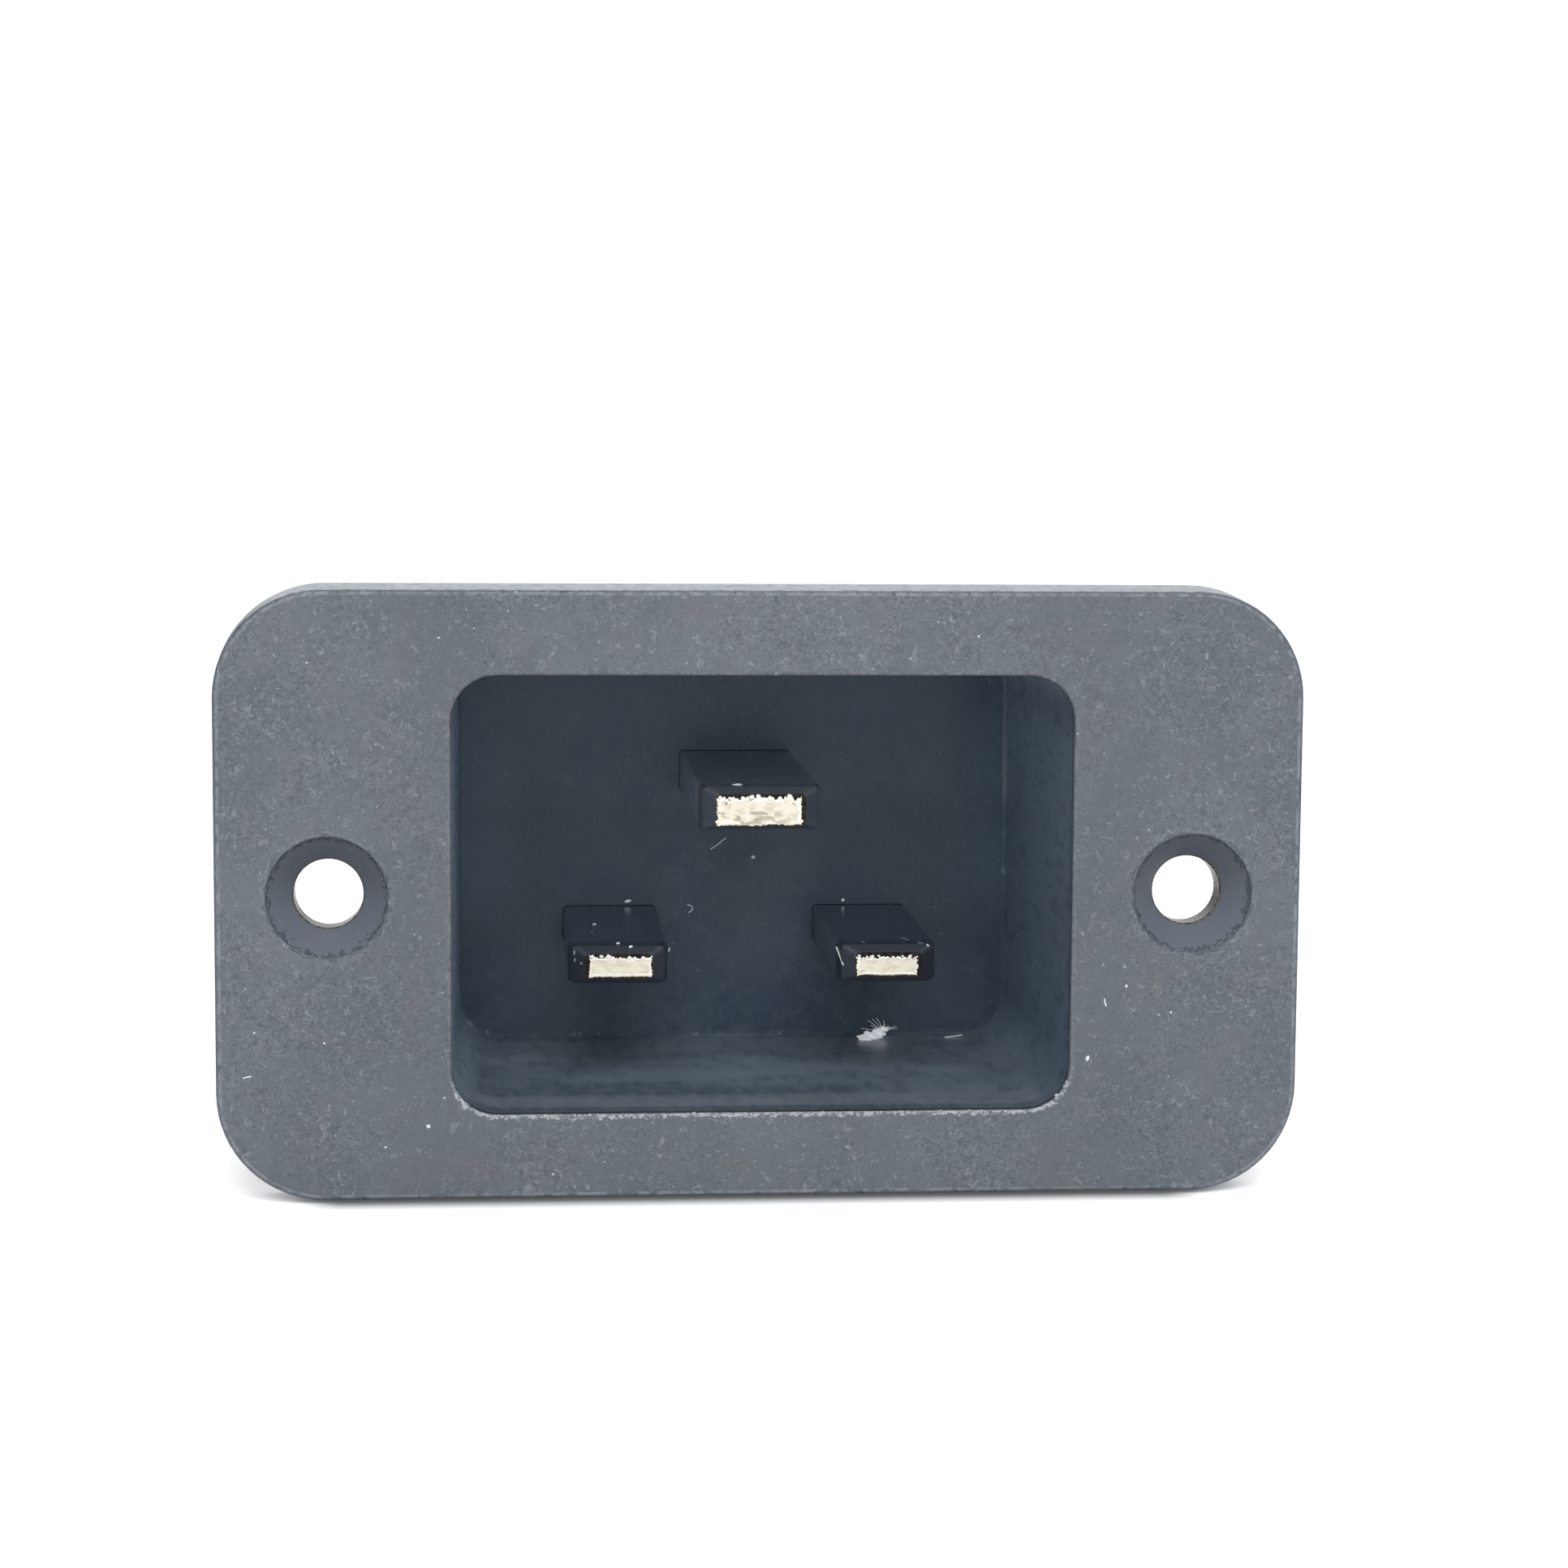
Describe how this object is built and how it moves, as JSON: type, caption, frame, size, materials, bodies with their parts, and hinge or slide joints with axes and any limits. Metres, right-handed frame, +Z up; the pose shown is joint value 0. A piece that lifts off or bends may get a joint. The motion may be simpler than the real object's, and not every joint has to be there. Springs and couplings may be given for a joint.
{
  "type": "iec panel socket",
  "caption": "Panel-mount appliance inlet: flange with countersunk screw holes, deep rectangular cavity and flat horizontal pins, with push-on tabs at the rear.",
  "frame": {"origin": "centre of the flange's rear face, where it meets the panel", "axes": "+Z up with the earth pin above the other two, front face towards -Y, +X to the right seen from the front"},
  "size_m": [0.0506, 0.0361, 0.0284],
  "materials": {
    "housing": "fine moulded texture on the flange, satin inside the cavity",
    "rear_cover": "matte moulded plate",
    "pin": "nickel-plated drawn sides, bare sheared ends",
    "tab": "plated rolled strip, satin"
  },
  "bodies": {
    "root": {"housing": "housing", "rear_cover": "rear_cover", "earth_pin": "pin", "line_pin": "pin", "neutral_pin": "pin", "earth_tab": "tab", "line_tab": "tab", "neutral_tab": "tab"}
  },
  "joints": []
}
